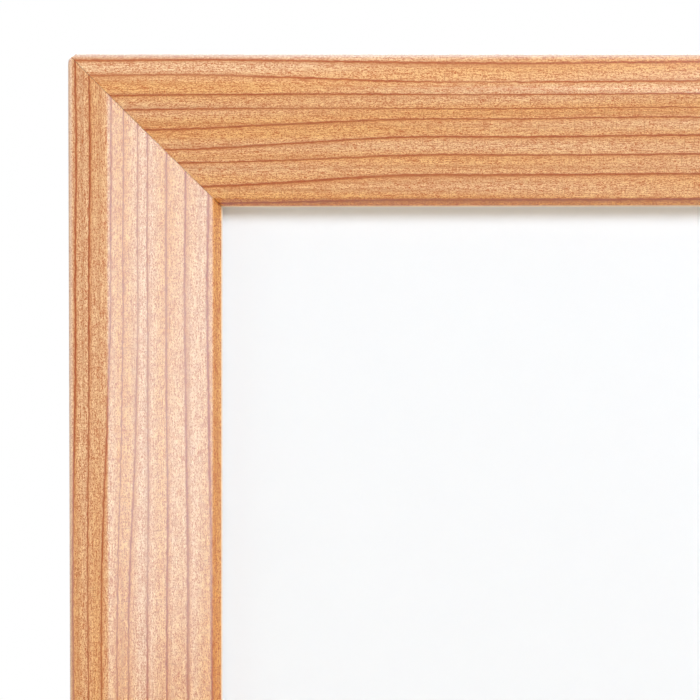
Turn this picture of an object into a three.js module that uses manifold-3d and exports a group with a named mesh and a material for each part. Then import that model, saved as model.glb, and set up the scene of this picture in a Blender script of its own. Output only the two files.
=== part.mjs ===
// Wall-hung snap frame: four mitred base rails hold a backing panel, a sheet and a clear cover, and four
// hinged snap rails close over the sheet's edges. Bowed plate springs throw each snap rail open or shut.
// Millimetres, +Z up, the front faces -Y, and the origin is the middle of the wall plane behind the frame.
import * as THREE from "three";
import { mergeVertices } from "three/addons/utils/BufferGeometryUtils.js";
import Module from "manifold-3d";

const wasm = await Module();
wasm.setup();

// Sheets held by the frame
const SHEET_WIDTH = 210;
const SHEET_HEIGHT = 297;
const SHEET_LAP = 10; // how far the snap rails lap over each edge of the sheet
const INSERT_THICKNESS = 0.25;
const CLEAR_THICKNESS = 0.5;
const CLEAR_CORNER = 1.5;
const PANEL_THICKNESS = 1.5;
const SHEET_GAP = 0.05; // between two sheets, and between a sheet and its bed
const SHEET_SIDE_GAP = 0.3; // from the sheet's edge to the fence round it

// Snap rail, seen from the front and from its end
const FACE_WIDTH = 25;
const DEPTH = 12.5; // wall to the top of the ridge
const SNAP_WALL = 1.2;
const RIDGE_FROM_EDGE = 5.3;
const RIDGE_RADIUS = 5;
const SHOULDER_ANGLE = 18; // degrees, falling outwards from the ridge
const FACE_ANGLE = 8; // degrees, falling inwards from the ridge
const EDGE_RADIUS = 1.2;
const BEVEL_WIDTH = 1.6; // the steep inner bevel, seen from the front
const BEVEL_CREASE = 0.3;
const LIP_LAND = 0.45; // upright land at the tip of the lip
const LIP_GAP = 0.15; // lip above the clear cover
const TIP_RADIUS = 1.8; // eased corner tips of the closed frame
const SNAP_MITRE_GAP = 0.08;

// Hinge: the base rail's bead turns inside the snap rail's hook
const BEAD_RADIUS = 1.3;
const HINGE_GAP = 0.15;
const HOOK_WALL = 0.9;
const HOOK_WRAP = 233; // degrees round the bead, enough to hold it in
const WALL_GAP = 0.35; // hook to the wall plane
const NECK_ANGLE = -45; // degrees, from the bead down to the floor
const NECK_WALL = 0.85;
const OPEN_ANGLE = 80; // degrees

// Spring and its two seats
const SPRING_GAUGE = 0.5;
const SPRING_BEAD = 0.55; // radius of the rolled long edges
const SPRING_BOW = 0.6;
const SPRING_LENGTH = 36;
const SPRING_CORNER = 2.0;
const SPRING_FROM_END = 62; // rail's end to the middle of its nearer spring
const SEAT_GAP = 0.2;
const SEAT_WALL = 0.7;
const SNAP_SEAT_REACH = 9.6; // hinge to the snap rail's seat, across the rail
const SNAP_SEAT_DROP = 2.85; // below the inside of the face
const BASE_SEAT_RADIUS = 4.4; // hinge to the base rail's seat
const SEAT_PLAY = 9; // degrees of room beside the spring plate at each end of its swing
const SEAT_RIB = 1.0;

// Base rail
const FLOOR = 1.2;
const BASE_WALL = 1.0;
const BASE_MITRE_GAP = 0.3;
const POST_GAP = 0.4; // hook to the post that carries the spring seat
const FENCE_WALL = 0.9;
const FENCE_HEIGHT = 0.8; // above the bed
const BED_HEIGHT = 6.2;
const BED_WALL = 0.8;
const BED_INSET = 1.8; // bed's inner edge behind the lip
const GROOVE_DEPTH = 3.6;
const GROOVE_GAP = 0.15; // panel to the groove's walls
const PANEL_END_GAP = 0.5; // panel's edge to the bottom of the groove
const GROOVE_WALL = 0.9;
const INNER_FILLET = 0.3;

// Corner keys, their set screws and the wall holes
const KEY_THICKNESS = 2.1;
const KEY_GAP = 0.25;
const KEY_LEG = 34; // from the channel's corner to the end of a leg
const KEY_ROUND = 1.5;
const CHANNEL_LIP = 0.9; // thickness of the lips over the key
const CHANNEL_SLOT = 3.6; // opening between the lips
const SCREW_RADIUS = 1.5;
const SCREW_LENGTH = 3.0;
const SCREW_GAP = 0.2;
const SCREW_FROM_CORNER = 22;
const SCREW_CHAMFER = 0.25;
const SOCKET_ACROSS = 1.5; // hexagon socket, across its flats
const SOCKET_DEPTH = 1.4;
const WALL_HOLE_RADIUS = 2.25;
const HEAD_HOLE_RADIUS = 3.6; // lets a screw head past the lips

// Facets
const CHORD_ERROR = 0.006;
const ROUND_SIDES = 28;
const OVERSHOOT = 5; // how far a cutting solid runs past what it cuts

const radians = THREE.MathUtils.degToRad;

// Sizes that follow from the ones above. Across a rail, u runs inwards from the frame's outer edge
// and w runs forwards from the wall.
const outerWidth = SHEET_WIDTH - 2 * SHEET_LAP + 2 * FACE_WIDTH;
const outerHeight = SHEET_HEIGHT - 2 * SHEET_LAP + 2 * FACE_WIDTH;
const sheetEdge = FACE_WIDTH - SHEET_LAP;
const insertBack = BED_HEIGHT + SHEET_GAP;
const clearBack = insertBack + INSERT_THICKNESS + SHEET_GAP;
const lipBottom = clearBack + CLEAR_THICKNESS + LIP_GAP;

const hookInner = BEAD_RADIUS + HINGE_GAP;
const hookOuter = hookInner + HOOK_WALL;
const hinge = new THREE.Vector2(hookOuter, hookOuter + WALL_GAP);
const hookStart = radians(NECK_ANGLE + (360 - HOOK_WRAP - OPEN_ANGLE) / 2); // shut, clear of the neck

const postOuter = hinge.x + hookOuter + POST_GAP;
const postInner = postOuter + BASE_WALL;
const fenceInner = sheetEdge - SHEET_SIDE_GAP;
const fenceOuter = fenceInner - FENCE_WALL;
const channelMiddle = (postInner + fenceOuter) / 2;
const channelTop = FLOOR + KEY_THICKNESS + 2 * GROOVE_GAP;
const bedEdge = FACE_WIDTH - BED_INSET;
const grooveBottom = bedEdge - GROOVE_DEPTH;
const grooveTop = BED_HEIGHT - BED_WALL;
const grooveFloor = grooveTop - PANEL_THICKNESS - 2 * GROOVE_GAP;

// Plane geometry of the sections

const point = (u, w) => new THREE.Vector2(u, w);

const polar = (centre, radius, angle) =>
  point(centre.x + radius * Math.cos(angle), centre.y + radius * Math.sin(angle));

// Points along an arc from one angle to another, close enough together for CHORD_ERROR.
function arc(centre, radius, from, to) {
  const step = 2 * Math.acos(1 - CHORD_ERROR / radius);
  const count = Math.max(1, Math.ceil(Math.abs(to - from) / step));
  const points = [];
  for (let i = 0; i <= count; i++) points.push(polar(centre, radius, from + ((to - from) * i) / count));
  return points;
}

// Where the line through a with direction d meets the line through b with direction e.
function meet(a, d, b, e) {
  const along = (b.clone().sub(a).cross(e)) / d.cross(e);
  return a.clone().addScaledVector(d, along);
}

// A closed outline through corners, each {at, round}, with its rounded corners as arcs.
function outline(corners) {
  const points = [];
  corners.forEach(({ at, round }, i) => {
    if (!round) {
      points.push(at);
      return;
    }
    const before = corners[(i + corners.length - 1) % corners.length].at.clone().sub(at).normalize();
    const after = corners[(i + 1) % corners.length].at.clone().sub(at).normalize();
    const half = Math.acos(before.dot(after)) / 2;
    const middle = before.clone().add(after).normalize();
    const centre = at.clone().addScaledVector(middle, round / Math.sin(half));
    const first = before.clone().multiplyScalar(round / Math.tan(half)).add(at).sub(centre).angle();
    const last = after.clone().multiplyScalar(round / Math.tan(half)).add(at).sub(centre).angle();
    const turn = Math.atan2(Math.sin(last - first), Math.cos(last - first));
    points.push(...arc(centre, round, first, first + turn));
  });
  return points;
}

const corner = (u, w, round = 0) => ({ at: point(u, w), round });

// A split ring from one angle to another, with rounded ends.
function splitRing(centre, inner, outer, from, to) {
  const round = (outer - inner) / 2;
  const middle = (outer + inner) / 2;
  return [
    ...arc(centre, outer, from, to),
    ...arc(polar(centre, middle, to), round, to, to + Math.PI).slice(1),
    ...arc(centre, inner, to, from).slice(1),
    ...arc(polar(centre, middle, from), round, from + Math.PI, from + 2 * Math.PI).slice(1, -1),
  ];
}

// Solids

function solidOf(geometry) {
  const bare = geometry.clone().deleteAttribute("normal").deleteAttribute("uv");
  const merged = mergeVertices(bare);
  const vertProperties = merged.attributes.position.array;
  const triVerts = new Uint32Array(merged.index.array);
  return new wasm.Manifold(new wasm.Mesh({ numProp: 3, vertProperties, triVerts }));
}

function geometryOf(solid) {
  const { vertProperties, triVerts } = solid.getMesh();
  return new THREE.BufferGeometry()
    .setAttribute("position", new THREE.BufferAttribute(vertProperties, 3))
    .setIndex(new THREE.BufferAttribute(triVerts, 1));
}

// An outline in the section's plane, run along the rail and centred on its middle.
function extruded(points, length, holes = []) {
  const shape = new THREE.Shape(points);
  shape.holes = holes.map((hole) => new THREE.Path(hole));
  const geometry = new THREE.ExtrudeGeometry(shape, { depth: length, bevelEnabled: false });
  return geometry.translate(0, 0, -length / 2);
}

const railSolid = (points, length, holes) => solidOf(extruded(points, length, holes));

// An outline in plan, with u across the rail and the second coordinate along it, run from back to front.
function planSolid(points, back, front) {
  const geometry = new THREE.ExtrudeGeometry(new THREE.Shape(points), {
    depth: front - back,
    bevelEnabled: false,
  });
  return solidOf(geometry.rotateX(Math.PI / 2).translate(0, front, 0));
}

// All that lies on a rail's own side of the two mitre planes at its ends.
function mitreWedge(length, gap) {
  const half = length / 2 - gap / Math.SQRT2;
  const outside = -DEPTH - OVERSHOOT;
  const inside = FACE_WIDTH + OVERSHOOT;
  const plan = [
    point(outside, -half + outside),
    point(inside, -half + inside),
    point(inside, half - inside),
    point(outside, half - outside),
  ];
  return planSolid(plan, -OVERSHOOT, FACE_WIDTH + DEPTH + OVERSHOOT);
}

// Directions of the snap rail's outer surfaces, and the corners where they meet

const shoulderRun = point(Math.cos(radians(SHOULDER_ANGLE)), Math.sin(radians(SHOULDER_ANGLE)));
const faceRun = point(Math.cos(radians(FACE_ANGLE)), -Math.sin(radians(FACE_ANGLE)));
const ridge = point(RIDGE_FROM_EDGE, DEPTH);
const upright = point(0, 1);
const level = point(1, 0);
const outerTop = meet(ridge, shoulderRun, point(0, 0), upright);
const crease = meet(ridge, faceRun, point(FACE_WIDTH - BEVEL_WIDTH, 0), upright);
const lipTip = point(FACE_WIDTH, lipBottom + LIP_LAND);
const bevelRun = lipTip.clone().sub(crease).normalize();

// A point moved square to a run, to the run's right-hand side, which is the inside of the rail.
const inset = (at, run, by) => at.clone().add(point(run.y, -run.x).multiplyScalar(by));

const shoulderInside = inset(ridge, shoulderRun, SNAP_WALL);
const faceInside = inset(ridge, faceRun, SNAP_WALL);
const bevelInside = inset(lipTip, bevelRun, SNAP_WALL);
const insideFaceAt = (u) => meet(faceInside, faceRun, point(u, 0), upright).y;

// Spring geometry: both seats are as far apart with the snap rail shut as with it open

const snapSeat = point(hinge.x + SNAP_SEAT_REACH, 0);
snapSeat.y = insideFaceAt(snapSeat.x) - SNAP_SEAT_DROP;
const snapSeatAngle = snapSeat.clone().sub(hinge).angle();
const baseSeat = polar(hinge, BASE_SEAT_RADIUS, snapSeatAngle + radians(OPEN_ANGLE) / 2);
const openSnapSeat = snapSeat.clone().rotateAround(hinge, radians(OPEN_ANGLE));

const springRun = snapSeat.clone().sub(baseSeat);
const openSpringRun = openSnapSeat.clone().sub(baseSeat);
const springSwing = openSpringRun.angle() - springRun.angle();
const springChord = springRun.length();
const bowHalfAngle = 2 * Math.atan((2 * SPRING_BOW) / springChord);
const bowRadius = springChord / 2 / Math.sin(bowHalfAngle);

const seatInner = SPRING_BEAD + SEAT_GAP;
const seatOuter = seatInner + SEAT_WALL;
const plateRoom = Math.asin(SPRING_GAUGE / 2 / seatInner) + radians(SEAT_PLAY) + SEAT_WALL / 2 / seatInner;

// Base rail section

function baseRail(length) {
  const lip = (fenceOuter - postInner - CHANNEL_SLOT) / 2;
  const lipTop = channelTop + CHANNEL_LIP;
  const armTop = polar(baseSeat, (seatInner + seatOuter) / 2, radians(-15));
  const armUnder = polar(baseSeat, (seatInner + seatOuter) / 2, radians(-75));
  const section = outline([
    corner(postOuter - BASE_WALL, 0),
    corner(grooveBottom, 0),
    corner(grooveBottom, grooveFloor - GROOVE_WALL, INNER_FILLET),
    corner(bedEdge, grooveFloor - GROOVE_WALL, INNER_FILLET),
    corner(bedEdge, grooveFloor, INNER_FILLET),
    corner(grooveBottom, grooveFloor),
    corner(grooveBottom, grooveTop),
    corner(bedEdge, grooveTop, INNER_FILLET),
    corner(bedEdge, BED_HEIGHT, INNER_FILLET),
    corner(fenceInner, BED_HEIGHT),
    corner(fenceInner, BED_HEIGHT + FENCE_HEIGHT, INNER_FILLET),
    corner(fenceOuter, BED_HEIGHT + FENCE_HEIGHT, INNER_FILLET),
    corner(fenceOuter, lipTop, INNER_FILLET),
    corner(fenceOuter - lip, lipTop, INNER_FILLET),
    corner(fenceOuter - lip, channelTop, INNER_FILLET),
    corner(fenceOuter, channelTop),
    corner(fenceOuter, FLOOR),
    corner(postInner, FLOOR),
    corner(postInner, channelTop),
    corner(postInner + lip, channelTop, INNER_FILLET),
    corner(postInner + lip, lipTop, INNER_FILLET),
    corner(postInner, lipTop, INNER_FILLET),
    { at: armTop, round: 0 },
    { at: armUnder, round: 0 },
    corner(postOuter, lipTop, INNER_FILLET),
    corner(postOuter, FLOOR, INNER_FILLET),
    corner(postOuter - BASE_WALL, FLOOR),
  ]);
  const chamber = outline([
    corner(fenceInner, FLOOR, INNER_FILLET),
    corner(grooveBottom - BASE_WALL, FLOOR, INNER_FILLET),
    corner(grooveBottom - BASE_WALL, grooveTop, INNER_FILLET),
    corner(fenceInner, grooveTop, INNER_FILLET),
  ]);
  const seat = splitRing(
    baseSeat,
    seatInner,
    seatOuter,
    openSpringRun.angle() + bowHalfAngle + plateRoom - 2 * Math.PI,
    springRun.angle() + bowHalfAngle - plateRoom,
  );
  const wallHole = new THREE.CylinderGeometry(WALL_HOLE_RADIUS, WALL_HOLE_RADIUS, DEPTH, ROUND_SIDES);
  const headHole = new THREE.CylinderGeometry(HEAD_HOLE_RADIUS, HEAD_HOLE_RADIUS, DEPTH, ROUND_SIDES);
  return railSolid(section, length, [chamber])
    .add(railSolid(hingeBead(), length))
    .add(railSolid(seat, length))
    .intersect(mitreWedge(length, BASE_MITRE_GAP))
    .subtract(solidOf(wallHole.translate(channelMiddle, 0, 0)))
    .subtract(solidOf(headHole.translate(channelMiddle, FLOOR + DEPTH / 2, 0)));
}

// The round bead on its slanting neck, which runs down into the base rail's floor.
function hingeBead() {
  const along = radians(NECK_ANGLE);
  const spread = Math.asin(NECK_WALL / 2 / BEAD_RADIUS);
  const run = polar(point(0, 0), 1, along);
  const under = polar(hinge, BEAD_RADIUS, along - spread);
  const over = polar(hinge, BEAD_RADIUS, along + spread);
  return [
    ...arc(hinge, BEAD_RADIUS, along + spread, along - spread + 2 * Math.PI),
    meet(under, run, point(0, 0), level),
    point(postOuter, 0),
    point(postOuter, FLOOR),
    meet(over, run, point(0, FLOOR), level),
  ];
}

// Snap rail section

function snapRail(length) {
  const legInside = point(SNAP_WALL, hinge.y + hookOuter / 2);
  const section = outline([
    corner(0, hinge.y),
    { at: outerTop, round: EDGE_RADIUS },
    { at: ridge, round: RIDGE_RADIUS },
    { at: crease, round: BEVEL_CREASE },
    { at: lipTip, round: 0 },
    corner(FACE_WIDTH, lipBottom, LIP_LAND / 3),
    { at: meet(bevelInside, bevelRun, point(0, lipBottom), level), round: LIP_LAND / 3 },
    { at: meet(bevelInside, bevelRun, faceInside, faceRun), round: INNER_FILLET },
    { at: meet(faceInside, faceRun, shoulderInside, shoulderRun), round: RIDGE_RADIUS - SNAP_WALL },
    { at: meet(shoulderInside, shoulderRun, legInside, upright), round: INNER_FILLET },
    { at: legInside, round: 0 },
    corner(HOOK_WALL / 2, hinge.y),
  ]);
  const hook = [
    ...arc(hinge, hookOuter, hookStart, hookStart + radians(HOOK_WRAP)),
    ...arc(hinge, hookInner, hookStart + radians(HOOK_WRAP), hookStart),
  ];
  const seat = splitRing(
    snapSeat,
    seatInner,
    seatOuter,
    openSpringRun.angle() + Math.PI - radians(OPEN_ANGLE) - bowHalfAngle + plateRoom - 2 * Math.PI,
    springRun.angle() + Math.PI - bowHalfAngle - plateRoom,
  );
  const rib = outline([
    corner(snapSeat.x - SEAT_RIB / 2, snapSeat.y + (seatInner + seatOuter) / 2),
    corner(snapSeat.x + SEAT_RIB / 2, snapSeat.y + (seatInner + seatOuter) / 2),
    corner(snapSeat.x + SEAT_RIB / 2, insideFaceAt(snapSeat.x) + SNAP_WALL / 2),
    corner(snapSeat.x - SEAT_RIB / 2, insideFaceAt(snapSeat.x) + SNAP_WALL / 2),
  ]);
  const easedTips = outline([
    corner(0, -length / 2, TIP_RADIUS),
    corner(FACE_WIDTH + OVERSHOOT, -length / 2),
    corner(FACE_WIDTH + OVERSHOOT, length / 2),
    corner(0, length / 2, TIP_RADIUS),
  ]);
  // The ends are cut to the mitre as it stands shut and again as it stands open, so that all four
  // snap rails can be open at once.
  const shutWedge = mitreWedge(length, SNAP_MITRE_GAP);
  const openWedge = shutWedge
    .translate([-hinge.x, -hinge.y, 0])
    .rotate([0, 0, -OPEN_ANGLE])
    .translate([hinge.x, hinge.y, 0]);
  return railSolid(section, length)
    .add(railSolid(hook, length))
    .add(railSolid(seat, length))
    .add(railSolid(rib, length))
    .intersect(shutWedge)
    .intersect(openWedge)
    .intersect(planSolid(easedTips, -OVERSHOOT, DEPTH + OVERSHOOT));
}

// Plate spring: a shallow bow between two rolled edges, one in each seat

function plateSpring() {
  const middle = baseSeat.clone().add(snapSeat).divideScalar(2);
  const across = point(-springRun.y, springRun.x).normalize();
  const centre = middle.addScaledVector(across, SPRING_BOW - bowRadius);
  const from = baseSeat.clone().sub(centre).angle();
  const to = snapSeat.clone().sub(centre).angle();
  const half = SPRING_GAUGE / 2;
  const plate = [...arc(centre, bowRadius + half, from, to), ...arc(centre, bowRadius - half, to, from)];
  const rolled = (at) => arc(at, SPRING_BEAD, 0, 2 * Math.PI).slice(0, -1);
  const blank = outline([
    corner(baseSeat.x - SPRING_BEAD, -SPRING_LENGTH / 2, SPRING_CORNER),
    corner(snapSeat.x + SPRING_BEAD, -SPRING_LENGTH / 2, SPRING_CORNER),
    corner(snapSeat.x + SPRING_BEAD, SPRING_LENGTH / 2, SPRING_CORNER),
    corner(baseSeat.x - SPRING_BEAD, SPRING_LENGTH / 2, SPRING_CORNER),
  ]);
  return railSolid(plate, SPRING_LENGTH)
    .add(railSolid(rolled(baseSeat), SPRING_LENGTH))
    .add(railSolid(rolled(snapSeat), SPRING_LENGTH))
    .intersect(planSolid(blank, 0, DEPTH));
}

// Corner key: an L of flat steel that lies in the channels of two base rails

function cornerKey() {
  const near = postInner + KEY_GAP;
  const far = fenceOuter - KEY_GAP;
  const end = channelMiddle + KEY_LEG;
  const ell = outline([
    corner(near, near, KEY_ROUND),
    corner(end, near, KEY_ROUND),
    corner(end, far, KEY_ROUND),
    corner(far, far, KEY_ROUND / 2),
    corner(far, end, KEY_ROUND),
    corner(near, end, KEY_ROUND),
  ]);
  const along = channelMiddle + SCREW_FROM_CORNER;
  const hole = (u, v) => arc(point(u, v), SCREW_RADIUS + SCREW_GAP, 0, 2 * Math.PI).slice(0, -1);
  const holes = [hole(along, channelMiddle), hole(channelMiddle, along)];
  return extruded(ell, KEY_THICKNESS, holes).translate(0, 0, KEY_THICKNESS / 2);
}

// Set screw with a hexagon socket, standing on its tip.
function setScrew() {
  const body = new THREE.LatheGeometry(
    [
      point(0, 0),
      point(SCREW_RADIUS - SCREW_CHAMFER, 0),
      point(SCREW_RADIUS, SCREW_CHAMFER),
      point(SCREW_RADIUS, SCREW_LENGTH - SCREW_CHAMFER),
      point(SCREW_RADIUS - SCREW_CHAMFER, SCREW_LENGTH),
      point(0, SCREW_LENGTH),
    ],
    ROUND_SIDES,
  );
  const socketRadius = SOCKET_ACROSS / Math.sqrt(3);
  const socket = new THREE.CylinderGeometry(socketRadius, socketRadius, 2 * SOCKET_DEPTH, 6);
  return geometryOf(solidOf(body).subtract(solidOf(socket.translate(0, SCREW_LENGTH, 0))));
}

// A flat sheet centred on the frame, with its back at a given distance from the wall.
function sheet(width, height, thickness, back, round = 0) {
  const points = outline([
    corner(-width / 2, -height / 2, round),
    corner(width / 2, -height / 2, round),
    corner(width / 2, height / 2, round),
    corner(-width / 2, height / 2, round),
  ]);
  const geometry = extruded(points, thickness);
  return geometry.rotateX(Math.PI / 2).translate(0, -back - thickness / 2, 0);
}

// Materials

function finish(color, roughness, metalness) {
  return new THREE.MeshStandardMaterial({ color, roughness, metalness });
}

const woodFoil = finish(0xdfa670, 0.42, 0);
const millAluminium = finish(0xc3c6c9, 0.4, 1);
const springSteel = finish(0x9aa0a6, 0.3, 1);
const zincSteel = finish(0xb4b8b6, 0.38, 1);
const blackSteel = finish(0x33363a, 0.45, 1);
const whiteStyrene = finish(0xeeeeea, 0.6, 0);
const whitePaper = finish(0xf8f8f8, 0.85, 0);
const clearSheet = new THREE.MeshStandardMaterial({
  color: 0xf4f8fa,
  roughness: 0.12,
  transparent: true,
  opacity: 0.15,
});

// Assembly

const frame = new THREE.Group();

function add(parent, name, geometry, material) {
  const mesh = new THREE.Mesh(geometry, material.clone());
  mesh.name = name;
  parent.add(mesh);
  return mesh;
}

const forwards = new THREE.Vector3(0, -1, 0);
const SIDES = [
  { side: "top", outwards: new THREE.Vector3(0, 0, 1), length: outerWidth, reach: outerHeight / 2 },
  { side: "bottom", outwards: new THREE.Vector3(0, 0, -1), length: outerWidth, reach: outerHeight / 2 },
  { side: "left", outwards: new THREE.Vector3(-1, 0, 0), length: outerHeight, reach: outerWidth / 2 },
  { side: "right", outwards: new THREE.Vector3(1, 0, 0), length: outerHeight, reach: outerWidth / 2 },
];

for (const { side, outwards, length, reach } of SIDES) {
  const rail = new THREE.Group();
  const inwards = outwards.clone().negate();
  const lengthways = inwards.clone().cross(forwards);
  rail.quaternion.setFromRotationMatrix(new THREE.Matrix4().makeBasis(inwards, forwards, lengthways));
  rail.position.copy(outwards).multiplyScalar(reach);
  frame.add(rail);
  add(rail, `base_rail_${side}`, geometryOf(baseRail(length)), millAluminium);
  add(rail, `snap_rail_${side}`, geometryOf(snapRail(length)), woodFoil);
  for (const [number, end] of [[1, -1], [2, 1]]) {
    const spring = add(rail, `spring_${side}_${number}`, geometryOf(plateSpring()), springSteel);
    spring.position.z = end * (length / 2 - SPRING_FROM_END);
  }
}

const CORNERS = [
  { place: "top_right", x: 1, z: 1 },
  { place: "bottom_right", x: 1, z: -1 },
  { place: "bottom_left", x: -1, z: -1 },
  { place: "top_left", x: -1, z: 1 },
];

CORNERS.forEach(({ place, x, z }, quarter) => {
  const joint = new THREE.Group();
  const leftwards = new THREE.Vector3(-1, 0, 0);
  const downwards = new THREE.Vector3(0, 0, -1);
  const placed = new THREE.Matrix4()
    .makeRotationY((quarter * Math.PI) / 2)
    .multiply(new THREE.Matrix4().makeBasis(leftwards, downwards, forwards));
  joint.quaternion.setFromRotationMatrix(placed);
  joint.position.set((x * outerWidth) / 2, 0, (z * outerHeight) / 2);
  frame.add(joint);
  const key = add(joint, `corner_key_${place}`, cornerKey(), zincSteel);
  key.position.z = FLOOR + GROOVE_GAP;
  const along = channelMiddle + SCREW_FROM_CORNER;
  for (const [number, u, v] of [[1, along, channelMiddle], [2, channelMiddle, along]]) {
    const screw = add(joint, `set_screw_${place}_${number}`, setScrew(), blackSteel);
    screw.rotation.x = Math.PI / 2;
    screw.position.set(u, v, FLOOR + GROOVE_GAP);
  }
});

const panelInset = grooveBottom + PANEL_END_GAP;
const panelBack = grooveFloor + GROOVE_GAP;
const panel = sheet(outerWidth - 2 * panelInset, outerHeight - 2 * panelInset, PANEL_THICKNESS, panelBack);
add(frame, "backing_panel", panel, whiteStyrene);
add(frame, "paper_insert", sheet(SHEET_WIDTH, SHEET_HEIGHT, INSERT_THICKNESS, insertBack), whitePaper);
const clear = sheet(SHEET_WIDTH, SHEET_HEIGHT, CLEAR_THICKNESS, clearBack, CLEAR_CORNER);
add(frame, "clear_cover", clear, clearSheet);

console.log("hinge", hinge, "base seat", baseSeat, "snap seat", snapSeat);
console.log("spring swing", THREE.MathUtils.radToDeg(springSwing), "degrees");

export default frame;
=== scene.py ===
# %% [markdown]
# # Dressing a snap frame
# A snap frame holds a sheet behind a clear cover on a wall. Four base rails are fixed to the wall, and a
# snap rail hinges on each of them: it is pulled open at its inner edge, and a plate spring throws it shut.
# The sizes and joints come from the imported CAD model. This lesson adds what the eye sees: wood-print foil,
# bare aluminium, spring steel, paper and a clear sheet, in the light of a small studio.

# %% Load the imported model
import bpy
import math
from mathutils import Matrix, Vector


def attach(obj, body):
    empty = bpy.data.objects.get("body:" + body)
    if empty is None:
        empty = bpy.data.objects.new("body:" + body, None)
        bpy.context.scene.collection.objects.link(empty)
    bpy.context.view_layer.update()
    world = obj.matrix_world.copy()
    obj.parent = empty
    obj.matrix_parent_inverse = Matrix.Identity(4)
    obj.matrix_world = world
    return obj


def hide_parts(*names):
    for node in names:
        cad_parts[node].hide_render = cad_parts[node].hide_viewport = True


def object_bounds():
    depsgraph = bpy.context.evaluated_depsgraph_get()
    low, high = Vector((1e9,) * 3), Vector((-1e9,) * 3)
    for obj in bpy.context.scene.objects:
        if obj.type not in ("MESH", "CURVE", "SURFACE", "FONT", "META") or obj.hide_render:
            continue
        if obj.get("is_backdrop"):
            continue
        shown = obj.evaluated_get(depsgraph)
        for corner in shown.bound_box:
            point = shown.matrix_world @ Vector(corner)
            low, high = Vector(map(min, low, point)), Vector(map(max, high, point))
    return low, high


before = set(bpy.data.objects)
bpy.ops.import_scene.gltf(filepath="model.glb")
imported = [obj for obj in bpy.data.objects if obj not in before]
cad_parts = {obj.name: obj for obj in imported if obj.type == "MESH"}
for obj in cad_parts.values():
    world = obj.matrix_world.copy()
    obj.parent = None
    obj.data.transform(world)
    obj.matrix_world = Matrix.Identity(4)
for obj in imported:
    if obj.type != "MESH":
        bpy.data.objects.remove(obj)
cad_low, cad_high = (corner.copy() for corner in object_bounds())
MM = 0.001
print("size in mm:", [round(side / MM, 2) for side in cad_high - cad_low])

# %% [markdown]
# ## Plain colours
# Standard keeps every colour as it is written, so that a hex value read off a real sample can be used as
# it stands. Blender works in linear light, and one function turns the hex values into it.

# %% Colour settings
scene = bpy.context.scene
scene.view_settings.view_transform = "Standard"


def linear(hex_colour):
    """An sRGB hex value as a linear colour with full alpha."""
    parts = [int(hex_colour[start:start + 2], 16) / 255 for start in (1, 3, 5)]
    return [part / 12.92 if part <= 0.04045 else ((part + 0.055) / 1.055) ** 2.4 for part in parts] + [1.0]


print("mid grey #808080 in linear light:", round(linear("#808080")[0], 3))

# %% [markdown]
# ## The camera
# The picture is a close view of the top left corner, taken with a long lens from a little above and a
# little to the left. A long lens keeps the rails nearly parallel. The camera is turned to those angles,
# and its distance is worked out from how many pixels a millimetre of the frame covers.

# %% Camera
PICTURE_SIDE = 700
SENSOR_WIDTH = 36.0
FOCAL_PIXELS = 5000
CAMERA_DISTANCE = 815.7 * MM
CLIP_START = 50 * MM
LOOK_AT = Vector((-74.23, -8.0, 115.14)) * MM
LOOK_DOWN = math.radians(6.0)
LOOK_RIGHT = math.radians(3.0)
CAMERA_ROLL = math.radians(0.16)

bpy.ops.object.camera_add()
camera = bpy.context.object
camera.name = "picture_camera"
camera.data.sensor_width = SENSOR_WIDTH
camera.data.lens = FOCAL_PIXELS * SENSOR_WIDTH / PICTURE_SIDE
camera.data.clip_start = CLIP_START
turn = (
    Matrix.Rotation(-LOOK_RIGHT, 4, "Z")
    @ Matrix.Rotation(math.pi / 2 - LOOK_DOWN, 4, "X")
    @ Matrix.Rotation(CAMERA_ROLL, 4, "Z")
)
camera.matrix_world = Matrix.Translation(LOOK_AT + turn.to_3x3() @ Vector((0, 0, CAMERA_DISTANCE))) @ turn
scene.camera = camera
print("lens in mm:", round(camera.data.lens, 1), "camera at", [round(side, 3) for side in camera.location])

# %% [markdown]
# ## Helpers for nodes
# Every material below is a small graph of nodes. The first function adds a node, sets its options, and
# fills or links its sockets. The others make the few kinds of node that come back again and again, so that
# a material reads from top to bottom like a list of what is done.

# %% Node helpers
# nearly all values of smooth noise lie in this range
NOISE_SPAN = (0.3, 0.7)


def add_node(tree, kind, sockets=None, **options):
    """A node of this kind with its options set, and its sockets filled with values or linked to outputs."""
    made = tree.nodes.new(kind)
    for option, value in options.items():
        setattr(made, option, value)
    for socket, value in (sockets or {}).items():
        if isinstance(value, bpy.types.NodeSocket):
            tree.links.new(value, made.inputs[socket])
        else:
            made.inputs[socket].default_value = value
    return made


def new_tree(name):
    """An empty material of this name, and its node tree."""
    material = bpy.data.materials.new(name)
    material.use_nodes = True
    material.node_tree.nodes.clear()
    return material, material.node_tree


def maths(tree, operation, *values):
    """The result of one operation on one, two or three values."""
    return add_node(tree, "ShaderNodeMath", dict(enumerate(values)), operation=operation).outputs[0]


def ranged(tree, value, low, high, to_low=0.0, to_high=1.0, kind="LINEAR"):
    """A value carried from one range to another and held at its ends."""
    sockets = {"Value": value, "From Min": low, "From Max": high, "To Min": to_low, "To Max": to_high}
    return add_node(tree, "ShaderNodeMapRange", sockets, interpolation_type=kind).outputs[0]


def mixed_colour(tree, share, first, second, kind="MIX"):
    """Two colours, each a hex value or an output, mixed by a share."""
    first, second = (linear(part) if isinstance(part, str) else part for part in (first, second))
    made = add_node(tree, "ShaderNodeMix", {0: share, 6: first, 7: second}, data_type="RGBA", blend_type=kind)
    return made.outputs[2]


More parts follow.
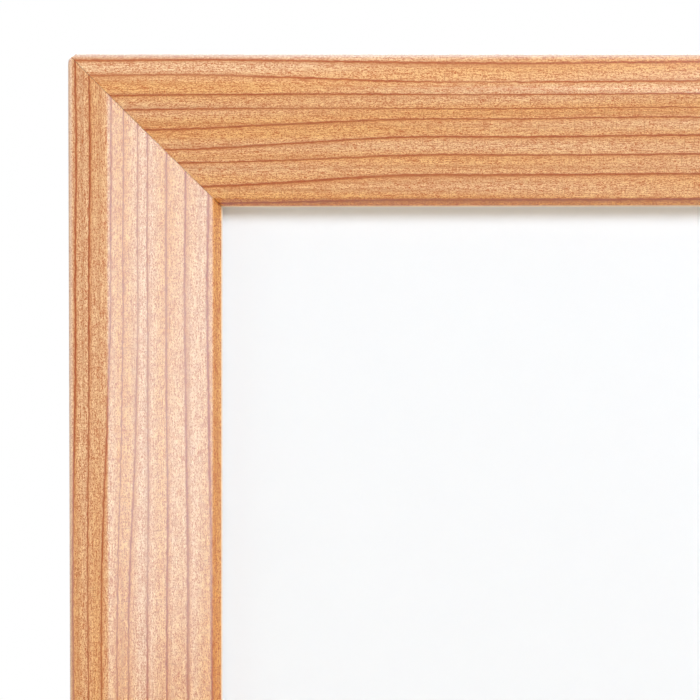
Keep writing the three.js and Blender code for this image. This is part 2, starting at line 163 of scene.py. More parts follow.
def stretched(tree, place, stretch):
    """A place multiplied by a stretch along each axis."""
    return add_node(tree, "ShaderNodeVectorMath", {0: place, 1: stretch}, operation="MULTIPLY").outputs[0]


def noise_at(tree, place, scale=1.0, detail=0.0, swirl=0.0, dimensions="3D"):
    """Smooth noise between 0 and 1 with this many features per unit of length."""
    sockets = {"Vector": place, "Scale": scale, "Detail": detail, "Distortion": swirl}
    return add_node(tree, "ShaderNodeTexNoise", sockets, noise_dimensions=dimensions).outputs["Fac"]


def relief(tree, height, strength, depth):
    """Normals of a surface with bumps of this height, whose full depth is given in mm."""
    sockets = {"Height": height, "Strength": strength, "Distance": depth * MM}
    return add_node(tree, "ShaderNodeBump", sockets).outputs[0]


def finish_surface(tree, sockets):
    """The all-round surface shader with these sockets, joined to the material's output."""
    surface = add_node(tree, "ShaderNodeBsdfPrincipled", sockets)
    add_node(tree, "ShaderNodeOutputMaterial", {"Surface": surface.outputs[0]})


def looking_rays(tree):
    """One for rays that look, from the camera, in a mirror or through a clear sheet, and zero for light."""
    path = add_node(tree, "ShaderNodeLightPath")
    seen = maths(tree, "MAXIMUM", path.outputs["Is Camera Ray"], path.outputs["Is Glossy Ray"])
    return maths(tree, "MAXIMUM", seen, path.outputs["Is Transmission Ray"])


print("node helpers ready")

# %% [markdown]
# ## Studio light
# Seven soft boxes stand round the frame, placed by their angles as seen from the corner in the picture. The
# key box hangs high on the right and throws the soft shadow of the top rail down on the sheet. The warm
# fill box stands low and lights that shadow. The side box is small and close: the flat face of the left
# rail mirrors it, which is why that face looks pale, while the face of the top rail leans down and mirrors
# the room. It is there for its mirror image alone, since its cool light would turn the shadow grey. The
# front box draws a thin sheen along the ridge of the top rail. The top and left boxes brighten the outer
# edges, and the back box lights the side that hangs on the wall.

# %% Lamps
# angles to the right and up in degrees, then distance, width and height in metres, power in watts, colour
SOFT_BOXES = {
    "key_box": (27, 43, 2.0, 0.68, 0.54, 40.5, "#E3F1FF"),
    "side_box": (15.1, -5.7, 1.04, 0.125, 0.26, 0.97, "#BEE9FF"),
    "front_box": (7.5, 5, 2.0, 0.15, 0.4, 1.1, "#FFEBD8"),
    "top_box": (90, 85.6, 2.0, 1.8, 0.45, 9.3, "#DAE9FF"),
    "left_box": (-80, 3, 1.5, 1.5, 0.66, 10.1, "#F2F1E8"),
    "fill_box": (32, -4, 1.5, 0.45, 0.3, 1.4, "#FFCBAD"),
    "back_box": (180, 25, 2.5, 2.0, 1.6, 34.0, "#FFFFFF"),
}
LAMP_CENTRE = LOOK_AT
# this box shows in mirror images and gives no other light
MIRRORED_ONLY = "side_box"


def soft_box(name, right, up, distance, width, height, power, colour):
    """An area lamp seen from the corner at these angles to the right and up, facing the corner."""
    bpy.ops.object.light_add(type="AREA")
    lamp = bpy.context.object
    lamp.name = name
    lamp.data.shape = "RECTANGLE"
    lamp.data.size = width
    lamp.data.size_y = height
    lamp.data.energy = power
    lamp.data.color = linear(colour)[:3]
    lamp.visible_camera = False
    lamp.visible_diffuse = name != MIRRORED_ONLY
    tilt = Matrix.Rotation(math.pi / 2 - math.radians(up), 4, "X")
    aim = Matrix.Rotation(math.radians(right), 4, "Z") @ tilt
    lamp.matrix_world = Matrix.Translation(LAMP_CENTRE + aim.to_3x3() @ Vector((0, 0, distance))) @ aim
    print(name, "at", [round(side, 2) for side in lamp.location])


for name, settings in SOFT_BOXES.items():
    soft_box(name, *settings)

# %% [markdown]
# ## The room
# The background is white. A white room would also flood the frame with light from every side, so the
# world is white only for what looks at it, through the camera, in a reflection or through the clear
# sheet, and dim and warm for the light that it gives.

# %% World
ROOM_STRENGTH = 0.045

scene.world = bpy.data.worlds.new("studio_room")
scene.world.use_nodes = True
tree = scene.world.node_tree
tree.nodes.clear()
room = add_node(tree, "ShaderNodeBackground", {"Color": linear("#FFD4A8"), "Strength": ROOM_STRENGTH})
white = add_node(tree, "ShaderNodeBackground", {"Color": linear("#FFFFFF"), "Strength": 1.0})
parts = {0: looking_rays(tree), 1: room.outputs[0], 2: white.outputs[0]}
mixed = add_node(tree, "ShaderNodeMixShader", parts)
add_node(tree, "ShaderNodeOutputWorld", {"Surface": mixed.outputs[0]})
print("room light:", ROOM_STRENGTH)

# %% [markdown]
# ## The floor
# A floor painted a warm, pale cream lies a little below the frame, with room for the bottom rail to swing
# open. Near the frame it takes light and shadow like any floor, and it throws a warm light up into the
# shadow of the top rail. Further off it fades into the white background, so that no edge or horizon shows.

# %% Floor
FLOOR_DROP = 14 * MM
FLOOR_SIDE = 40.0
FADE_START = 0.35
FADE_END = 1.1

bpy.ops.object.select_all(action="DESELECT")
bpy.ops.mesh.primitive_plane_add(size=FLOOR_SIDE, location=(0, 0, cad_low.z - FLOOR_DROP))
floor = bpy.context.object
floor.name = "floor"
bpy.ops.object.transform_apply(location=True)
floor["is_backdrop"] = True

material, tree = new_tree("pale cream floor paint, matt")
place = add_node(tree, "ShaderNodeTexCoord")
away = add_node(tree, "ShaderNodeVectorMath", {0: place.outputs["Object"]}, operation="LENGTH")
fade = ranged(tree, away.outputs["Value"], FADE_START, FADE_END, kind="SMOOTHSTEP")
share = maths(tree, "MULTIPLY", fade, looking_rays(tree))
painted = add_node(tree, "ShaderNodeBsdfPrincipled", {"Base Color": linear("#E5D5BC"), "Roughness": 0.8})
glow = add_node(tree, "ShaderNodeEmission", {"Color": linear("#FFFFFF"), "Strength": 1.0})
mixed = add_node(tree, "ShaderNodeMixShader", {0: share, 1: painted.outputs[0], 2: glow.outputs[0]})
add_node(tree, "ShaderNodeOutputMaterial", {"Surface": mixed.outputs[0]})
floor.data.materials.append(material)
print("floor at z =", round((cad_low.z - FLOOR_DROP) / MM, 1), "mm")

# %% [markdown]
# ## Smooth copies of the metal parts
# A CAD mesh is loose flat triangles, and on a glossy curve every one of them would show. A rounded metal
# part is therefore copied, its triangles are merged, its flat faces are joined, and it is shaded smooth
# up to a set angle. Weighted normals keep the large flat faces flat beside the small curves. The copy
# rides on the same body as the part that it stands for.

# %% Smooth copies
MERGE_DISTANCE = 0.002 * MM
FLAT_ANGLE = math.radians(0.2)
SMOOTH_ANGLE = math.radians(24)


def smooth_copy(node_name, piece_name, body):
    """A merged copy of a CAD node, shaded smooth, which stands for the node and rides on its body."""
    piece = bpy.data.objects.new(piece_name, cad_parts[node_name].data.copy())
    scene.collection.objects.link(piece)
    bpy.ops.object.select_all(action="DESELECT")
    piece.select_set(True)
    bpy.context.view_layer.objects.active = piece
    bpy.ops.object.mode_set(mode="EDIT")
    bpy.ops.mesh.select_all(action="SELECT")
    bpy.ops.mesh.remove_doubles(threshold=MERGE_DISTANCE)
    bpy.ops.mesh.dissolve_limited(angle_limit=FLAT_ANGLE)
    bpy.ops.object.mode_set(mode="OBJECT")
    bpy.ops.object.shade_smooth_by_angle(angle=SMOOTH_ANGLE)
    bpy.ops.object.modifier_add(type="WEIGHTED_NORMAL")
    piece.modifiers[-1].keep_sharp = True
    bpy.ops.object.modifier_apply(modifier=piece.modifiers[-1].name)
    piece.data.materials.clear()
    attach(piece, body)
    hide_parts(node_name)
    return piece


print("copies merge points closer than", MERGE_DISTANCE / MM, "mm")

# %% [markdown]
# ## Copies of the rails and springs
# The snap rails ride on their own hinged bodies, the base rails on the wall frame, and the springs on the
# bodies that swing with each snap rail.

# %% Rails and springs
SIDES = ("top", "bottom", "left", "right")
snap_rails = {}
base_rails = {}
springs = {}
for side in SIDES:
    snap_rails[side] = smooth_copy(f"snap_rail_{side}", f"foil_rail_{side}", f"{side}_snap")
    base_rails[side] = smooth_copy(f"base_rail_{side}", f"wall_rail_{side}", "wall_frame")
    springs[side] = []
    for number in (1, 2):
        node_name = f"spring_{side}_{number}"
        spring = smooth_copy(node_name, f"plate_{node_name}", f"{side}_springs")
        springs[side].append(spring)
print("snap rail faces:", {side: len(rail.data.polygons) for side, rail in snap_rails.items()})

# %% [markdown]
# ## Tight mitres
# On a new frame the soft foil at the sawn ends is pressed together, and the mitre shows as a hairline. The
# CAD rails keep a little more air there so that they swing freely. The sawn ends of the copies are drawn
# out by a few hundredths of a millimetre, which the eye sees only as a finer line.

# %% Draw out the sawn ends
END_DRAW = 0.03 * MM
LENGTH_AXIS = {"top": 0, "bottom": 0, "left": 2, "right": 2}
# a face is a sawn end when its normal has at least this share along the rail
END_SHARE = 0.5

for side, rail in snap_rails.items():
    axis = LENGTH_AXIS[side]
    bpy.ops.object.select_all(action="DESELECT")
    rail.select_set(True)
    bpy.context.view_layer.objects.active = rail
    for end in (-1, 1):
        for part in (rail.data.vertices, rail.data.edges, rail.data.polygons):
            part.foreach_set("select", [False] * len(part))
        for face in rail.data.polygons:
            face.select = end * face.normal[axis] > END_SHARE
        move = Vector()
        move[axis] = end * END_DRAW
        bpy.ops.object.mode_set(mode="EDIT")
        bpy.ops.transform.translate(value=move)
        bpy.ops.object.mode_set(mode="OBJECT")
    ends = [point.co[axis] / MM for point in rail.data.vertices]
    print(side, "rail is now", round(max(ends) - min(ends), 2), "mm long")

# %% [markdown]
# ## The foil laid flat
# The print is a flat sheet that is rolled round the outside of the rail and glued down. A UV map lays it
# flat again, in millimetres: the first coordinate runs along the rail from the corner of the picture, and
# the second round the section. It is the distance in from the outer edge, and goes on down the outer
# wall. On the steep bevel the roller has drawn the foil out, and the print with it.

# %% Places on the rail's section
HALF_WIDTH = 120.0
HALF_HEIGHT = 163.5
EDGE_DEPTH = 10.78
RIDGE_IN = 5.3
RIDGE_DEPTH = 12.5
CREASE_IN = 23.4
CREASE_DEPTH = 9.96
BEVEL_WIDTH = 1.6
LIP_IN = CREASE_IN + BEVEL_WIDTH
# for each side: the axis across the rail with its outward sign and half size, and the axis along it
RAIL_AXES = {
    "top": ("z", 1, HALF_HEIGHT, "x", 1, HALF_WIDTH),
    "bottom": ("z", -1, HALF_HEIGHT, "x", 1, HALF_WIDTH),
    "left": ("x", -1, HALF_WIDTH, "z", -1, HALF_HEIGHT),
    "right": ("x", 1, HALF_WIDTH, "z", -1, HALF_HEIGHT),
}


def rail_place(side, point):
    """A point as millimetres along the rail, inward from its outer edge, and forward from the wall."""
    across, outward, half, lengthwise, forward, half_length = RAIL_AXES[side]
    along = half_length + forward * getattr(point, lengthwise) / MM
    inward = half - outward * getattr(point, across) / MM
    return along, inward, -point.y / MM


def round_the_skin(inward, depth):
    """How far round the section a point of the skin is, with its outer edge as zero."""
    if inward < RIDGE_IN:
        return inward + min(0.0, depth - EDGE_DEPTH)
    return inward


for side, rail in snap_rails.items():
    foil_map = rail.data.uv_layers.new(name="foil")
    for loop in rail.data.loops:
        along, inward, depth = rail_place(side, rail.data.vertices[loop.vertex_index].co)
        foil_map.data[loop.index].uv = (along, round_the_skin(inward, depth))
print("the foil ends", round(LIP_IN, 2), "mm in from the outer edge")

# %% [markdown]
# ## Which faces wear the foil
# Foil covers the outer wall, the shoulder, the face and the bevel. The inside of the rail is bare metal,
# and so are its ends, where the saw went through.

# %% Faces of the snap rails
FOIL_FACES, METAL_FACES, CUT_FACES = 0, 1, 2
# how far in the wall's skin reaches, and how far under the front skin a face may lie, in mm
WALL_REACH, SKIN_REACH, CREASE_REACH = 0.9, 0.35, 0.1
# the least share of a face's normal that points outward, to the front, and inward
WALL_SHARE, FRONT_SHARE, BEVEL_SHARE = 0.3, 0.2, 0.4


def skin_height(inward):
    """How far the outside of the shoulder and the face stands from the wall."""
    if inward < RIDGE_IN:
        return EDGE_DEPTH + inward * (RIDGE_DEPTH - EDGE_DEPTH) / RIDGE_IN
    return RIDGE_DEPTH - (inward - RIDGE_IN) * (RIDGE_DEPTH - CREASE_DEPTH) / (CREASE_IN - RIDGE_IN)


def face_kind(side, face):
    """Whether a face of a snap rail is foil, bare metal inside, or a sawn end."""
    if abs(face.normal[LENGTH_AXIS[side]]) > END_SHARE:
        return CUT_FACES
    inward, depth = rail_place(side, face.center)[1:]
    across, outward = RAIL_AXES[side][:2]
    faces_out = outward * getattr(face.normal, across)
    on_wall = inward < WALL_REACH and faces_out > WALL_SHARE
    on_front = -face.normal.y > FRONT_SHARE and depth > skin_height(inward) - SKIN_REACH
    on_bevel = inward > CREASE_IN - CREASE_REACH and -faces_out > BEVEL_SHARE
    return FOIL_FACES if on_wall or on_front or on_bevel else METAL_FACES


for side, rail in snap_rails.items():
    kinds = [face_kind(side, face) for face in rail.data.polygons]
    rail.data.polygons.foreach_set("material_index", kinds)
    counts = [kinds.count(kind) for kind in (FOIL_FACES, METAL_FACES, CUT_FACES)]
    print(side, "foil, metal and sawn faces:", counts)

# %% [markdown]
# ## Printed wood foil
# The rails wear a PVC foil printed like a plain-sawn softwood, with a clear satin top layer. A softwood
# shows one dark line of late wood for every year, pale wood between them, and fine fibres along the
# grain. Bands from a wave texture would all look alike, so the place of every line is written down: once
# near the corner and once further along the rail.

# %% Places of the printed lines
FOIL_FROM, FOIL_TO = -9.0, 30.0
# each line's place round the section in mm, near the corner and further along the rail
PRINT_LINES = {
    "top": ((-6.2, -5.8), (-3.2, -2.6), (1.05, 1.3), (3.3, 4.3), (6.65, 6.3), (9.0, 8.6), (12.3, 10.2),
            (15.6, 13.2), (17.7, 16.2), (21.7, 19.5), (24.4, 23.7), (28.0, 27.2)),
    "bottom": ((-6.0, -6.4), (-3.6, -3.0), (1.0, 0.7), (3.9, 3.3), (6.3, 6.6), (8.6, 9.4), (11.0, 12.2),
               (13.9, 14.6), (17.2, 17.0), (20.4, 20.8), (24.1, 24.3), (27.4, 27.0)),
    "left": ((-6.4, -6.0), (-2.9, -3.4), (1.2, 0.5), (3.3, 2.9), (6.8, 5.1), (8.8, 7.7), (11.2, 9.5),
             (12.7, 12.6), (15.8, 15.8), (18.9, 19.2), (22.5, 23.2), (26.6, 26.9)),
    "right": ((-6.1, -6.5), (-3.3, -3.0), (0.8, 1.3), (3.2, 3.9), (5.9, 6.6), (8.3, 8.6), (11.8, 11.1),
              (14.2, 13.5), (16.9, 16.6), (20.2, 19.7), (23.8, 23.5), (27.0, 27.4)),
}
# where along the rail, in mm, the lines leave their first places and reach their second ones
PRINT_SHIFT = {"top": (14, 62), "bottom": (40, 190), "left": (36, 96), "right": (60, 240)}
print("printed lines on each rail:", {side: len(lines) for side, lines in PRINT_LINES.items()})

# %% [markdown]
# ## Noise of the print
# Everything finer than the lines is noise that is stretched along the grain. Slow noise bends the lines
# and changes the tone of the wood, quick noise makes their edges ragged, and the finest is the fibres.

# %% Print noise
# length along the grain and width across it in mm, finer detail, and how much it swirls
PRINT_NOISE = {
    "bend": (45, 14, 1.0, 0.0),
    "ragged": (1.6, 0.8, 2.0, 0.0),
    "tone": (90, 3.5, 0.0, 0.0),
    "faint line": (60, 0.9, 0.0, 0.0),
    "tick": (0.2, 2.6, 0.0, 0.0),
    "streak": (2.2, 0.16, 1.0, 1.2),
    "fibre": (0.27, 0.13, 0.5, 1.0),
}


def print_noise(tree, sheet, seed):
    """The kinds of noise of one rail's print, by name."""
    moved = add_node(tree, "ShaderNodeVectorMath", {0: sheet, 1: (seed, 0, 0)}, operation="ADD").outputs[0]
    noise = {}
    for name, (length, width, detail, swirl) in PRINT_NOISE.items():
        place = stretched(tree, moved, (1 / length, 1 / width, 0))
        noise[name] = noise_at(tree, place, detail=detail, swirl=swirl, dimensions="2D")
    return noise


print("kinds of noise:", ", ".join(PRINT_NOISE))

# %% [markdown]
# ## Counting the years
# Two curves turn the place round the section into a count of years, one with the lines' places near the
# corner and one with those further along, and the count passes slowly from one to the other.

# %% Year count
BEND_DEPTH, RAGGED_DEPTH = 0.7, 0.3


def year_curve(tree, side, end, place):
    """The count of years at a place, from the places of the lines at one end of their shift."""
    curve = add_node(tree, "ShaderNodeFloatCurve", {"Value": place})
    points = curve.mapping.curves[0].points
    for number, line in enumerate(PRINT_LINES[side], start=1):
        share = (line[end] - FOIL_FROM) / (FOIL_TO - FOIL_FROM)
        points.new(share, number / (len(PRINT_LINES[side]) + 1)).handle_type = "VECTOR"
    curve.mapping.update()
    return curve.outputs[0]


def year_count(tree, side, along, across, noise):
    """A count that passes a half at the middle of every printed line."""
    bent = maths(tree, "MULTIPLY_ADD", noise["bend"], BEND_DEPTH, across)
    bent = maths(tree, "MULTIPLY_ADD", noise["ragged"], RAGGED_DEPTH, bent)
    middle = (BEND_DEPTH + RAGGED_DEPTH) / 2
    place = ranged(tree, bent, FOIL_FROM + middle, FOIL_TO + middle)
    near, far = (year_curve(tree, side, end, place) for end in (0, 1))
    shift = ranged(tree, along, *PRINT_SHIFT[side], kind="SMOOTHSTEP")
    share = add_node(tree, "ShaderNodeMix", {0: shift, 2: near, 3: far}).outputs[0]
    return maths(tree, "MULTIPLY_ADD", share, len(PRINT_LINES[side]) + 1, 0.5)


print("lines bend by up to", BEND_DEPTH, "mm")

# %% [markdown]
# ## One year
# The fraction of the year draws the line: a fast brown rise and a slow warm fall. Some lines are printed
# fainter than others, and every line fades and comes back along the rail.

# %% Year line
# the part of the year, the line's colour there, and how much of the pale wood it covers
LINE_STOPS = (
    (0.39, "#E2A064", 0.0), (0.44, "#D48C56", 0.5), (0.462, "#C06429", 0.9), (0.5, "#B25019", 1.0),
    (0.54, "#C36824", 0.9), (0.59, "#DE9449", 0.5), (0.74, "#EAAA64", 0.0),
)
LINE_FADE_LENGTH = 30
LINE_APART = 3.7
FADE_SPAN = (0.25, 0.5)
FAINTEST = 0.75


def year_line(tree, count):
    """The printed line over one year: its colour, and how much it covers."""
    line = add_node(tree, "ShaderNodeValToRGB", {"Fac": maths(tree, "FRACT", count)})
    for stop in LINE_STOPS[1:-1]:
        line.color_ramp.elements.new(stop[0])
    for element, (place, colour, cover) in zip(line.color_ramp.elements, LINE_STOPS):
        element.position = place
        element.color = linear(colour)[:3] + [cover]
    return line.outputs["Color"], line.outputs["Alpha"]


def line_strength(tree, count, along, seed):
    """How strongly each line is printed: slow noise along the rail, different for every line."""
    sockets = {"X": along, "Y": maths(tree, "FLOOR", count), "Z": seed}
    place = add_node(tree, "ShaderNodeCombineXYZ", sockets).outputs[0]
    place = stretched(tree, place, (1 / LINE_FADE_LENGTH, LINE_APART, 1))
    return ranged(tree, noise_at(tree, place, detail=1.0), *FADE_SPAN, to_low=FAINTEST)


print("colours of one line:", len(LINE_STOPS))

# %% [markdown]
# ## Fibres, marks and edges
# Fibres and short streaks darken the pale wood, and less so on the lines. Faint lines run between the
# years, with rare ticks across the grain. Round the outer edge the foil is painted paler as a painted
# highlight, the bevel is painted darker as painted shade, and a thin pale line runs along the lip.

# %% Fibres, marks and edges
PALE_WOOD = ("#F7C37C", "#FBD4A3")
FIBRE_TINT = ("#C58159", "#FFFFFF")
FIBRE_RANGE = (0.41, 0.59)
STREAK_SHARE = 0.4
LINE_FIBRES = 0.4
# noise from which a mark starts and at which it is full, and its strength
MARKS = {"faint line": (0.55, 0.75, 0.3), "tick": (0.76, 0.82, 0.6)}
MARK_COLOUR = "#BE7440"
# painted highlight round the outer edge, painted shade on the bevel and a thin pale line at the lip:
# where round the section each starts and is full, its strength, its colour and how it is mixed
EDGE_SHEEN_SHADE_AND_LIP_LINE = (
    # painted highlight: the outer edge and wall paler, as if they mirrored the bright room
    (0.9, -0.4, 0.4, "#EFDCD2", "MIX"),
    # painted shade: the whole bevel darker from the crease in
    (CREASE_IN - 0.2, CREASE_IN + 0.2, 1.0, "#F5DDA2", "MULTIPLY"),
    # a thin pale line just short of the lip
    (LIP_IN - 0.27, LIP_IN - 0.17, 1.0, "#F2DCC2", "MIX"),
)


def fibre_tint(tree, fibre, cover):
    """The fibres' tint and how much of it shows, which is less where a line covers the wood."""
    tint = mixed_colour(tree, ranged(tree, fibre, *FIBRE_RANGE), *FIBRE_TINT)
    return maths(tree, "MULTIPLY_ADD", cover, -LINE_FIBRES, 1.0), tint


def marked(tree, wood, noise):
    """The wood with its faint lines and ticks."""
    for name, (start, full, strength) in MARKS.items():
        wood = mixed_colour(tree, ranged(tree, noise[name], start, full, to_high=strength), wood, MARK_COLOUR)
    return wood


def with_edge_sheen_and_shade(tree, wood, across):
    """The wood with the painted highlight and shade along the foil's edges, and a pale line at the lip."""
    for start, full, strength, colour, kind in EDGE_SHEEN_SHADE_AND_LIP_LINE:
        wood = mixed_colour(tree, ranged(tree, across, start, full, to_high=strength), wood, colour, kind)
    return wood


print("edge changes:", len(EDGE_SHEEN_SHADE_AND_LIP_LINE))

# %% [markdown]
# ## The whole foil
# The parts are put together from the bottom up: pale wood, lines, fibres, marks, the painted highlight
# and shade along the edges, and the satin top layer with a trace of the fibres in it. PVC mirrors a little
# more than glass does.

# %% Foil material
SEED_STEP = 449.0


def wood_foil(side, seed):
    """Printed PVC foil for one rail: crisp brown year lines, fine fibres, and a soft gloss on top."""
    material, tree = new_tree(f"printed PVC wood foil, satin lacquer, {side} rail")
    sheet = add_node(tree, "ShaderNodeUVMap", uv_map="foil").outputs[0]
    flat = add_node(tree, "ShaderNodeSeparateXYZ", {0: sheet})
    along, across = flat.outputs["X"], flat.outputs["Y"]
    noise = print_noise(tree, sheet, seed)
    count = year_count(tree, side, along, across, noise)
    line_colour, line_cover = year_line(tree, count)
    cover = maths(tree, "MULTIPLY", line_cover, line_strength(tree, count, along, seed))
    parts = {0: STREAK_SHARE, 2: noise["fibre"], 3: noise["streak"]}
    fibre = add_node(tree, "ShaderNodeMix", parts).outputs[0]
    wood = mixed_colour(tree, ranged(tree, noise["tone"], *NOISE_SPAN), *PALE_WOOD)
    wood = mixed_colour(tree, cover, wood, line_colour)
    fibre_share, tint = fibre_tint(tree, fibre, cover)
    wood = mixed_colour(tree, fibre_share, wood, tint, "MULTIPLY")
    # painted highlight round the outer edge, painted shade on the bevel, and a pale line at the lip
    wood = with_edge_sheen_and_shade(tree, marked(tree, wood, noise), across)
    bumps = relief(tree, fibre, strength=0.25, depth=0.02)
    finish_surface(tree, {"Base Color": wood, "Roughness": 0.15, "IOR": 1.53, "Normal": bumps})
    return material


for number, side in enumerate(SIDES, start=1):
    snap_rails[side].data.materials.append(wood_foil(side, number * SEED_STEP))
print("foil on", ", ".join(rail.name for rail in snap_rails.values()))

# %% [markdown]
# ## Bare aluminium
# The rails are pressed through a steel die, which leaves fine straight lines along them. Under a soft
# light the lines draw the shine out across the rail. The lines here are noise that is stretched along the
# rail, a little coarser than real ones so that they show. Sawn ends are brighter, with the marks of the
# blade's teeth across them.

# %% Aluminium materials
# features per metre: die lines are 0.15 mm apart and 60 mm long
DIE_LINES = {"x": (16, 6500, 6500), "z": (6500, 6500, 16)}
# on the smooth lines and on the rough ones
DIE_ROUGHNESS = (0.26, 0.42)
# cloudy patches are about 20 mm across, where the metal cooled unevenly
CLOUDS = 50.0
# tooth marks are 0.25 mm apart
TOOTH_MARKS = 200.0


def extruded_aluminium(lengthwise):
    """Mill-finish aluminium with die lines along one axis: a soft grey shine drawn out across the lines."""
    material, tree = new_tree(f"mill finish aluminium, extruded along {lengthwise}")
    place = add_node(tree, "ShaderNodeTexCoord").outputs["Object"]
    lines = noise_at(tree, stretched(tree, place, DIE_LINES[lengthwise]), detail=3.0)
    clouds = noise_at(tree, place, scale=CLOUDS, detail=2.0)
    finish_surface(tree, {
        "Base Color": mixed_colour(tree, clouds, "#B9BBBD", "#D2D3D3"),
        "Metallic": 1.0,
        "Roughness": ranged(tree, lines, *NOISE_SPAN, *DIE_ROUGHNESS),
        "Normal": relief(tree, lines, strength=0.3, depth=0.01),
    })
    return material


def sawn_aluminium():
    """Freshly sawn aluminium: brighter than the skin, with fine tooth marks across it."""
    material, tree = new_tree("sawn aluminium, bare")
    place = add_node(tree, "ShaderNodeTexCoord").outputs["Object"]
    sockets = {"Vector": place, "Scale": TOOTH_MARKS, "Distortion": 3.0, "Detail": 2.0}
    marks = add_node(tree, "ShaderNodeTexWave", sockets, bands_direction="Y").outputs["Fac"]
    tone = mixed_colour(tree, marks, "#AEB0B2", "#CBCDCE")
    finish_surface(tree, {"Base Color": tone, "Metallic": 1.0, "Roughness": 0.38})
    return material


extruded = {axis: extruded_aluminium(axis) for axis in DIE_LINES}
sawn = sawn_aluminium()
for side in SIDES:
    lengthwise = RAIL_AXES[side][3]
    for rail in (snap_rails[side], base_rails[side]):
        rail.data.materials.append(extruded[lengthwise])
        rail.data.materials.append(sawn)
    for face in base_rails[side].data.polygons:
        face.material_index = 1 if abs(face.normal[LENGTH_AXIS[side]]) > END_SHARE else 0
print("aluminium on", len(base_rails) + len(snap_rails), "rails")

# %% [markdown]
# ## Steel inside
# Three steels hide under the snap rails. The plate springs are rolled, hardened strip with a bluish shine
# and faint rolling lines. The corner keys are stamped and zinc plated, with the cloudy, slightly yellow
# look of the bath. The set screws are blackened, nearly matt. Each is a few nodes, and the difference
# lies in the colour, the roughness and the scale of the marks.

# %% Steel materials
# features per metre: rolling lines 0.3 mm apart along the strip, zinc crystals 2 mm across, black grain
ROLLING_LINES = {"x": (40, 3300, 3300), "z": (3300, 3300, 40)}
ZINC_CRYSTALS = (480, 480, 480)
BLACK_GRAIN = (2500, 2500, 2500)
# how far the roughness falls below its middle value on some marks, and rises above it on others
SMOOTHER, ROUGHER = 0.06, 0.08


def marked_steel(name, dark, pale, roughness, marks_per_metre, mark_depth):
    """Steel with fine marks: a tone and a roughness that change with the marks."""
    material, tree = new_tree(name)
    place = add_node(tree, "ShaderNodeTexCoord").outputs["Object"]
    marks = noise_at(tree, stretched(tree, place, marks_per_metre), detail=3.0)
    finish_surface(tree, {
        "Base Color": mixed_colour(tree, marks, dark, pale),
        "Metallic": 1.0,
        "Roughness": ranged(tree, marks, *NOISE_SPAN, roughness - SMOOTHER, roughness + ROUGHER),
        "Normal": relief(tree, marks, strength=0.3, depth=mark_depth),
    })
    return material


rolled = {}
for axis, lines_per_metre in ROLLING_LINES.items():
    name = f"hardened strip steel, rolled along {axis}"
    rolled[axis] = marked_steel(name, "#74797F", "#A3A8AD", roughness=0.26,
                                marks_per_metre=lines_per_metre, mark_depth=0.004)
for side, pair in springs.items():
    for spring in pair:
        spring.data.materials.append(rolled[RAIL_AXES[side][3]])
print("strip steel on", sum(len(pair) for pair in springs.values()), "springs")

# %% [markdown]
# ## Keys and screws
# Each corner of the base frame is held by an L-shaped key in the rails' channels and two set screws. They
# are copied like the rails and get their steels.

# %% Corner keys and set screws
CORNERS = ("top_right", "bottom_right", "bottom_left", "top_left")
plated = marked_steel("zinc plated steel, stamped", "#A9AAA2", "#CFD0C9", roughness=0.34,
                      marks_per_metre=ZINC_CRYSTALS, mark_depth=0.01)
blackened = marked_steel("black oxide steel, turned", "#1B1B1D", "#2E2E31", roughness=0.42,
                         marks_per_metre=BLACK_GRAIN, mark_depth=0.006)
for corner in CORNERS:
    key = smooth_copy(f"corner_key_{corner}", f"zinc_key_{corner}", "wall_frame")
    key.data.materials.append(plated)
    for number in (1, 2):
        node_name = f"set_screw_{corner}_{number}"
        screw = smooth_copy(node_name, f"black_screw_{corner}_{number}", "wall_frame")
        screw.data.materials.append(blackened)
print("keys with two screws each:", len(CORNERS))

# %% [markdown]
# ## Panel and paper
# Behind the rails lie a white polystyrene panel, a blank sheet of paper and a thin clear cover. All three
# are flat, so the CAD parts stay and get materials. The panel has the faint orange peel of extruded sheet.
# The paper is bright and dull, with a trace of fibres.

# %% Panel and paper materials
# features per metre: bumps about 1.5 mm across, and felted fibres about 0.6 mm apart
ORANGE_PEEL = 650.0
PAPER_FELT = 1600.0


def polystyrene():
    """White polystyrene sheet: a soft plastic shine over faint bumps."""
    material, tree = new_tree("white polystyrene, extruded sheet")
    place = add_node(tree, "ShaderNodeTexCoord").outputs["Object"]
    peel = noise_at(tree, place, scale=ORANGE_PEEL, detail=1.0)
    tone = mixed_colour(tree, peel, "#EEEEEA", "#F5F5F2")
    bumps = relief(tree, peel, strength=0.2, depth=0.02)
    finish_surface(tree, {"Base Color": tone, "Roughness": 0.4, "IOR": 1.59, "Normal": bumps})
    return material


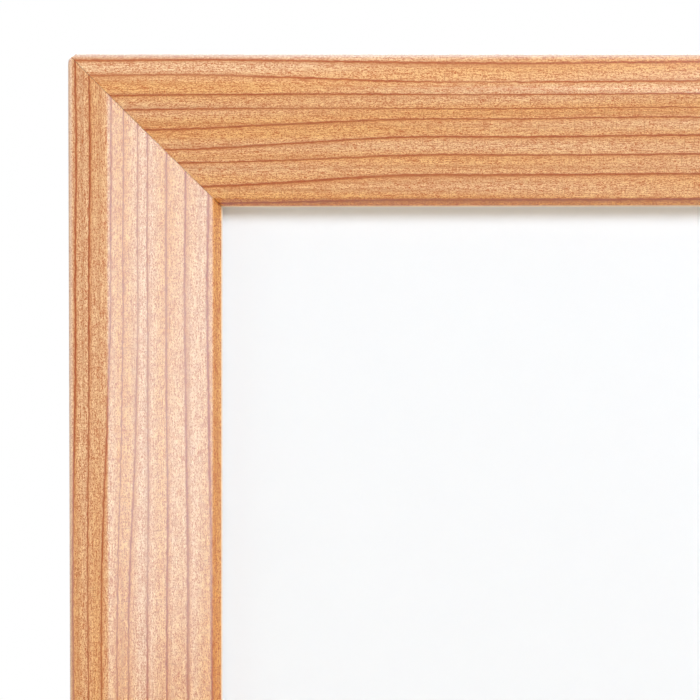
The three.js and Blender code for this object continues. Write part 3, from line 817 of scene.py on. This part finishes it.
def white_paper():
    """Bright uncoated paper: dull and even, with a trace of fibres."""
    material, tree = new_tree("bright white paper, uncoated")
    place = add_node(tree, "ShaderNodeTexCoord").outputs["Object"]
    tone = mixed_colour(tree, noise_at(tree, place, scale=PAPER_FELT, detail=3.0), "#FAFAFB", "#FEFEFE")
    finish_surface(tree, {"Base Color": tone, "Roughness": 0.9, "IOR": 1.5, "Specular IOR Level": 0.2})
    return material


def dress(node_name, material):
    """Give a CAD part this material in place of its own."""
    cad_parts[node_name].data.materials.clear()
    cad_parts[node_name].data.materials.append(material)


dress("backing_panel", polystyrene())
dress("paper_insert", white_paper())
print("dressed: backing_panel, paper_insert")

# %% [markdown]
# ## Clear cover
# The cover is modelled as what it does to light: most goes straight through, and a little is mirrored,
# more at a low angle. Real glass bending would cost time and change nothing in a thin sheet. Slow waves
# from the rollers bend reflections a little.

# %% Clear sheet material
# features per metre: waves about 60 mm across
ROLLER_WAVES = 16.0


def clear_film():
    """Clear PET: light passes straight through, and its front mirrors a little of the room."""
    material, tree = new_tree("clear PET sheet, calendered")
    place = add_node(tree, "ShaderNodeTexCoord").outputs["Object"]
    waves = relief(tree, noise_at(tree, place, scale=ROLLER_WAVES), strength=0.2, depth=0.05)
    mirrored = add_node(tree, "ShaderNodeFresnel", {"IOR": 1.57}).outputs[0]
    inside = add_node(tree, "ShaderNodeNewGeometry").outputs["Backfacing"]
    share = maths(tree, "MULTIPLY", mirrored, maths(tree, "SUBTRACT", 1.0, inside))
    through = add_node(tree, "ShaderNodeBsdfTransparent", {"Color": linear("#FEFEFE")})
    sockets = {"Color": linear("#FFFFFF"), "Roughness": 0.06, "Normal": waves}
    gloss = add_node(tree, "ShaderNodeBsdfGlossy", sockets)
    mixed = add_node(tree, "ShaderNodeMixShader", {0: share, 1: through.outputs[0], 2: gloss.outputs[0]})
    add_node(tree, "ShaderNodeOutputMaterial", {"Surface": mixed.outputs[0]})
    return material


dress("clear_cover", clear_film())
print("dressed: clear_cover")
